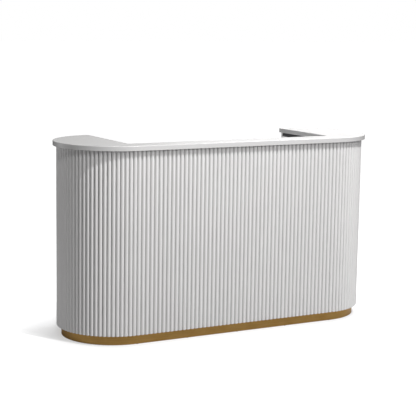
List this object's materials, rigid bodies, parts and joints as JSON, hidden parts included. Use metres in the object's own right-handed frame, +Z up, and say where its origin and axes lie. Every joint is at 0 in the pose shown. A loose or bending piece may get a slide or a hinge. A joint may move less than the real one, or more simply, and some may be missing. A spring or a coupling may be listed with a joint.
{
  "type": "checkout counter",
  "caption": "Round-ended fluted checkout counter with a C-shaped top, recessed metal kick strip, staff worktop, drawers and a cabinet.",
  "frame": {"origin": "middle of the footprint, on the floor", "axes": "+Z up, +X along the counter, -Y towards the customer, +Y towards the staff"},
  "size_m": [1.7998, 0.62, 1],
  "materials": {
    "white_top": "white satin lacquer on board",
    "fluted_white": "white satin lacquer on fluted sheet",
    "white_board": "white melamine-faced board",
    "worktop": "light grey laminate",
    "grey_board": "grey melamine-faced board",
    "dark_board": "dark grey board",
    "raw_board": "raw plywood",
    "brushed_brass": "brushed, aged brass tone",
    "polished_brass": "satin brass",
    "plated_steel": "zinc plated",
    "chrome_lock": "nickel plated",
    "dark_plastic": "moulded, fine texture",
    "nylon": "moulded"
  },
  "bodies": {
    "root": {"countertop": "white_top", "sub_top": "dark_board", "base_board": "white_board", "front_fluted_panel": "fluted_white", "left_fluted_wrap": "fluted_white", "right_fluted_wrap": "fluted_white", "front_backing_board": "raw_board", "left_curved_board": "dark_board", "right_curved_board": "dark_board", "staff_side_panel": "white_board", "wall_studs": "raw_board", "left_wing_panel": "white_board", "right_wing_panel": "white_board", "niche_shelves": "dark_board", "worktop": "worktop", "left_partition": "white_board", "right_partition": "white_board", "plinth_front_board": "raw_board", "plinth_left_board": "raw_board", "plinth_right_board": "raw_board", "plinth_returns": "white_board", "kick_strip": "brushed_brass", "glides": "nylon", "cabinet_shelf": "grey_board", "shelf_pins": "plated_steel", "grommet_liners": "dark_plastic", "drawer_slide_outers": "plated_steel", "countertop_screws": "plated_steel", "worktop_brackets": "plated_steel", "magnet_catch": "dark_plastic", "lock_strike": "plated_steel", "hinge_cabinet_leaves": "polished_brass", "hinge_pins": "polished_brass"},
    "door": {"cabinet_door": "white_board", "door_knob": "polished_brass", "door_strike_plate": "plated_steel", "hinge_door_leaves": "polished_brass"},
    "lock_plug": {"lock_plug": "chrome_lock", "lock_key": "chrome_lock"},
    "grommet_cap_left": {"grommet_cap_left": "dark_plastic"},
    "grommet_cap_right": {"grommet_cap_right": "dark_plastic"},
    "drawer_1": {"drawer_1_front": "white_board", "drawer_1_box": "grey_board", "drawer_1_bottom": "grey_board", "drawer_1_knob": "polished_brass", "drawer_1_slide_inners": "plated_steel", "lock_housing": "chrome_lock"},
    "drawer_1_slides": {"drawer_1_slide_middles": "plated_steel"},
    "drawer_2": {"drawer_2_front": "white_board", "drawer_2_box": "grey_board", "drawer_2_bottom": "grey_board", "drawer_2_knob": "polished_brass", "drawer_2_slide_inners": "plated_steel"},
    "drawer_2_slides": {"drawer_2_slide_middles": "plated_steel"},
    "drawer_3": {"drawer_3_front": "white_board", "drawer_3_box": "grey_board", "drawer_3_bottom": "grey_board", "drawer_3_knob": "polished_brass", "drawer_3_slide_inners": "plated_steel"},
    "drawer_3_slides": {"drawer_3_slide_middles": "plated_steel"}
  },
  "joints": [
    {"name": "drawer_1_slide", "type": "slide", "parent": "root", "child": "drawer_1", "axis": [0, 1, 0], "range_m": [0, 0.36]},
    {"name": "drawer_1_middle_slide", "type": "slide", "parent": "root", "child": "drawer_1_slides", "axis": [0, 1, 0], "range_m": [0, 0.18]},
    {"name": "drawer_2_slide", "type": "slide", "parent": "root", "child": "drawer_2", "axis": [0, 1, 0], "range_m": [0, 0.36]},
    {"name": "drawer_2_middle_slide", "type": "slide", "parent": "root", "child": "drawer_2_slides", "axis": [0, 1, 0], "range_m": [0, 0.18]},
    {"name": "drawer_3_slide", "type": "slide", "parent": "root", "child": "drawer_3", "axis": [0, 1, 0], "range_m": [0, 0.36]},
    {"name": "drawer_3_middle_slide", "type": "slide", "parent": "root", "child": "drawer_3_slides", "axis": [0, 1, 0], "range_m": [0, 0.18]},
    {"name": "door_hinge", "type": "hinge", "parent": "root", "child": "door", "pos_m": [0.5958, 0.2742, 0.387], "axis": [0, 0, -1], "range_deg": [0, 105]},
    {"name": "lock_turn", "type": "hinge", "parent": "drawer_1", "child": "lock_plug", "pos_m": [-0.332, 0.261, 0.695], "axis": [0, 1, 0], "range_deg": [0, 90]},
    {"name": "grommet_left_turn", "type": "hinge", "parent": "root", "child": "grommet_cap_left", "pos_m": [-0.2, -0.128, 0.749], "axis": [0, 0, 1], "continuous": true},
    {"name": "grommet_right_turn", "type": "hinge", "parent": "root", "child": "grommet_cap_right", "pos_m": [0.2, -0.128, 0.749], "axis": [0, 0, 1], "continuous": true}
  ],
  "couplings": [
    {"joint": "drawer_1_middle_slide", "follows": "drawer_1_slide", "ratio": 0.5},
    {"joint": "drawer_2_middle_slide", "follows": "drawer_2_slide", "ratio": 0.5},
    {"joint": "drawer_3_middle_slide", "follows": "drawer_3_slide", "ratio": 0.5}
  ]
}
